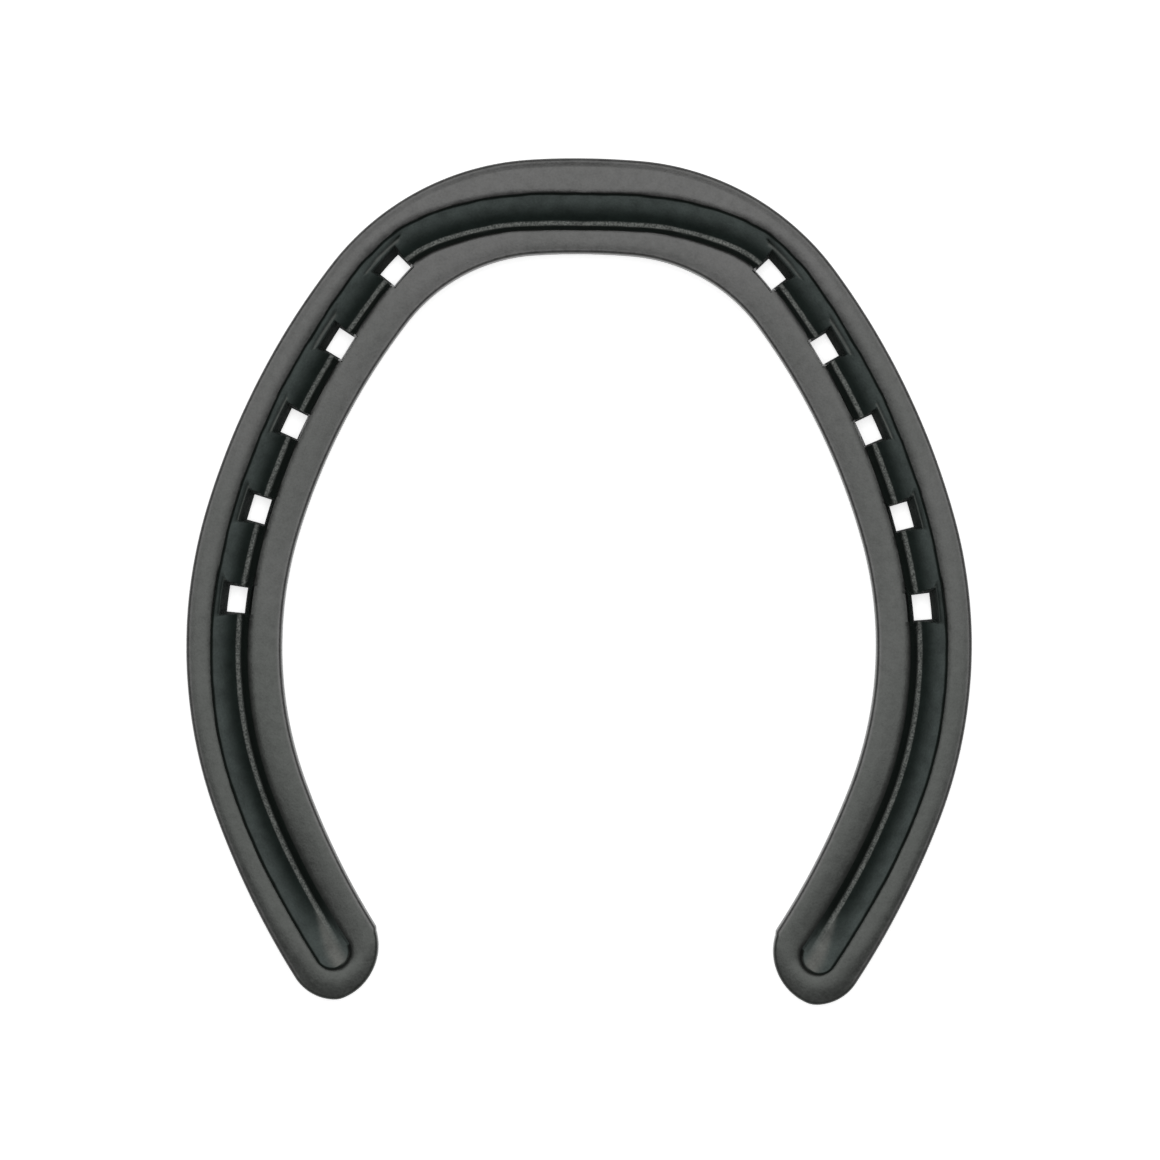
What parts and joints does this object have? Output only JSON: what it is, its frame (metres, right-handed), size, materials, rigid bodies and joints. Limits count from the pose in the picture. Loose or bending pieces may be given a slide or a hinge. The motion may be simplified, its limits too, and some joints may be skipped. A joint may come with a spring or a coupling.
{
  "type": "horseshoe",
  "caption": "Front horseshoe forged from flat bar, with a crease from heel to heel, rectangular nail holes in tapered seats along both branches, and rounded heels.",
  "frame": {"origin": "on the hoof-side plane, on the shoe's line of symmetry, half way between the toe and the ends of the heels", "axes": "+Z from the hoof side up to the creased ground side, +Y toward the toe, +X to the right branch seen from the ground side"},
  "size_m": [0.1298, 0.1396, 0.008],
  "materials": {
    "forged_steel": "satin, dark forge scale in the crease, worn a little lighter on the rims"
  },
  "bodies": {
    "root": {"shoe": "forged_steel"}
  },
  "joints": []
}
